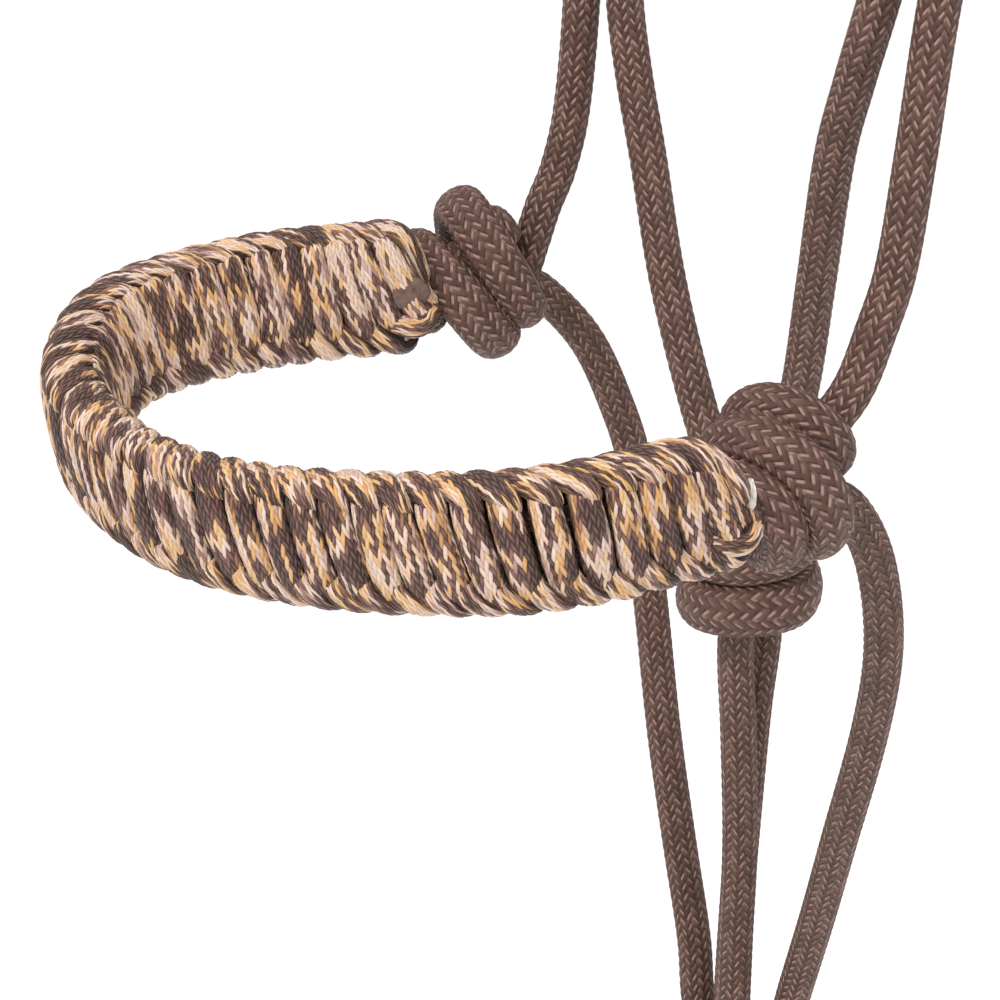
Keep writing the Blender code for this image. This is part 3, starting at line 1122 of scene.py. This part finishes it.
NEAR_NOSE_TURNS = (
    (-135, -9.8, 3.5, 0.0, 3.3),
    (-90, -9.5, 7.0, 0.0, 3.5),
    (0, -8.8, 8.6, 0.0, 3.7),
    (90, -9.1, 6.6, 0.0, 3.7),
    (180, -6.2, 8.4, 0.0, 3.6),
    (270, -2.9, 9.8, 0.0, 3.9),
    (360, -1.7, 9.8, 0.0, 4.3),
    (450, -2.6, 10.4, 0.0, 4.2),
    (540, 1.2, 8.8, 0.0, 3.6),
    (630, 4.0, 9.5, -0.6, 3.6),
    (720, 6.4, 7.0, -1.2, 3.6),
    (790, 6.8, 5.6, -1.4, 3.5),
    (860, 6.2, 2.6, -0.8, 3.3),
)
FAR_NOSE_TURNS = (
    (-140, -8.0, 3.5, 0.6, 3.4),
    (-90, -7.2, 8.7, 0.6, 3.8),
    (0, -5.4, 9.8, 1.2, 4.2),
    (90, -3.4, 10.5, 1.8, 4.2),
    (180, -0.8, 9.8, 0.6, 3.8),
    (270, 3.2, 9.6, -0.6, 4.1),
    (360, 3.4, 10.0, -0.4, 4.2),
    (450, 3.4, 10.8, 0.0, 4.0),
    (540, 5.2, 7.4, -0.2, 3.5),
    (630, 6.6, 4.4, 0.0, 3.3),
    (690, 6.8, 2.4, 0.0, 3.2),
)
JAW_TURNS = (
    (-230, -6.6, 3.5, 0.0, 3.4),
    (-180, -5.6, 8.2, 0.0, 3.8),
    (-90, -3.0, 9.1, 0.0, 4.5),
    (0, -0.6, 9.2, 0.0, 4.8),
    (90, -0.5, 9.4, 0.0, 4.9),
    (180, 3.0, 9.1, 0.0, 4.0),
    (270, 6.0, 9.0, 0.0, 3.7),
    (360, 7.9, 8.9, 0.0, 3.6),
    (430, 8.6, 8.4, 0.0, 3.5),
    (490, 8.2, 3.5, 0.0, 3.3),
)


def add_knots(rope_brown):
    near, far = NOSE_KNOT, mirrored(NOSE_KNOT)
    upright = (0.0, 0.0, 1.0)
    knots = (
        ("nose_knot_left", "head", near, NEAR_AXIS, KNOT_FRONT, NEAR_NOSE_TURNS),
        ("nose_knot_right", "head", far, FAR_AXIS, KNOT_FRONT, FAR_NOSE_TURNS),
        ("jaw_knot", "head", JAW_KNOT, upright, KNOT_FRONT, JAW_TURNS),
        (
            "throat_knot_left",
            "crown",
            THROAT_KNOT,
            (0.1, 0.12, 1.0),
            (1.0, -0.3, 0.0),
            even_turns(-140.0, 800.0, 9.2, 6.9, 3.7),
        ),
        (
            "throat_knot_right",
            "crown",
            mirrored(THROAT_KNOT),
            (-0.1, 0.12, 1.0),
            (-1.0, -0.3, 0.0),
            even_turns(-140.0, 800.0, 9.2, 6.9, 3.7),
        ),
        (
            "tie_knot",
            "crown",
            TIE_KNOT,
            (0.0, 0.1, 1.0),
            (1.0, -0.3, 0.0),
            even_turns(-170.0, 560.0, 8.6, 6.6, 3.5),
        ),
    )
    for name, body, middle, axis, front, table in knots:
        shape = Shape()
        coil(shape, middle, axis, front, table)
        if name == "nose_knot_right":
            # The strands that run on through its hollow
            reaches = (-HEART_REACH, 0.0, HEART_REACH)
            shape.rope([along_axis(middle, axis, d) for d in reaches], radius=HEART_RADIUS)
        settle(shape.piece(name + "_braid", rope_brown), body, [name])
    shape = Shape()
    turks_head(shape, FIADOR_KNOT, 10.4, 2.7, 0.95)
    settle(shape.piece("fiador_knot_braid", rope_brown), "head", ["fiador_knot"])


def add_noseband(rope_brown, cord_desert):
    sleeve = Sleeve()
    shapes = weave_sleeve(sleeve)
    for (name, part), shape in shapes.items():
        piece = shape.piece(name + "_cord_" + part, cord_desert)
        settle(piece, "noseband", [name])
    for side, height in (("upper", CORE_HEIGHT), ("lower", -CORE_HEIGHT)):
        places = np.linspace(0.0, sleeve.length, 12)
        section = np.stack([places * 0, np.full(12, height), places], axis=1)
        points, _ = sleeve.world(section)
        lift = np.array([0.0, 0.0, height * 0.5])
        far_nose = mirrored(NOSE_KNOT)
        near = [(51.4, -40.6, -295.9), along_axis(NOSE_KNOT, NEAR_AXIS, -6.0)]
        far = [(-43.5, -37.5, -299.5), along_axis(far_nose, FAR_AXIS, -6.5)]
        near = [np.array(point) + lift for point in near]
        far = [np.array(point) + lift for point in far]
        route = [*near[::-1], *points, *far]
        name = "noseband_core_" + side
        strand(name, "noseband", route, rope_brown, braid=PLAIN_ROPE, radius=CORE_RADIUS)
    # The near end's melt is near white and thin: it is melted pale cord, with a painted highlight
    # taken into its colour and shape.
    cream = melted_finish("cord_melted_pale", (236, 226, 214))
    dark = melted_finish("cord_melted_dark", (124, 98, 86))
    for side, place_on, nudge, half, material, seed in (
        ("left", (3.2, 5.0, -3.0), (0.9, 0.9, 1.2), (0.8, 1.1, 2.5), cream, 3),
        ("right", (-5.6, 0.4, sleeve.length + 0.6), (0.0, 0.0, 0.0), (2.9, 0.8, 2.8), dark, 5),
    ):
        edge = np.clip([place_on[2]], 0.0, sleeve.length)
        axes = [unit(sleeve.at(way, edge))[0] for way in (sleeve.ahead, sleeve.outward)]
        axes.append(unit(sleeve.at(sleeve.upward, edge))[0])
        name = "noseband_cord_end_" + side
        middle = sleeve.world([place_on])[0][0] + nudge
        piece = blob(name + "_melt", middle, axes, half, material, seed)
        settle(piece, "noseband", [name])


def build():
    add_camera()
    rope_brown = rope_finish()
    cord_desert = cord_finish()
    melted = melted_finish("rope_melted", (84, 60, 52))
    add_tails(rope_brown, melted)
    add_strands(rope_brown)
    add_knots(rope_brown)
    add_noseband(rope_brown, cord_desert)
    add_studio()


build()
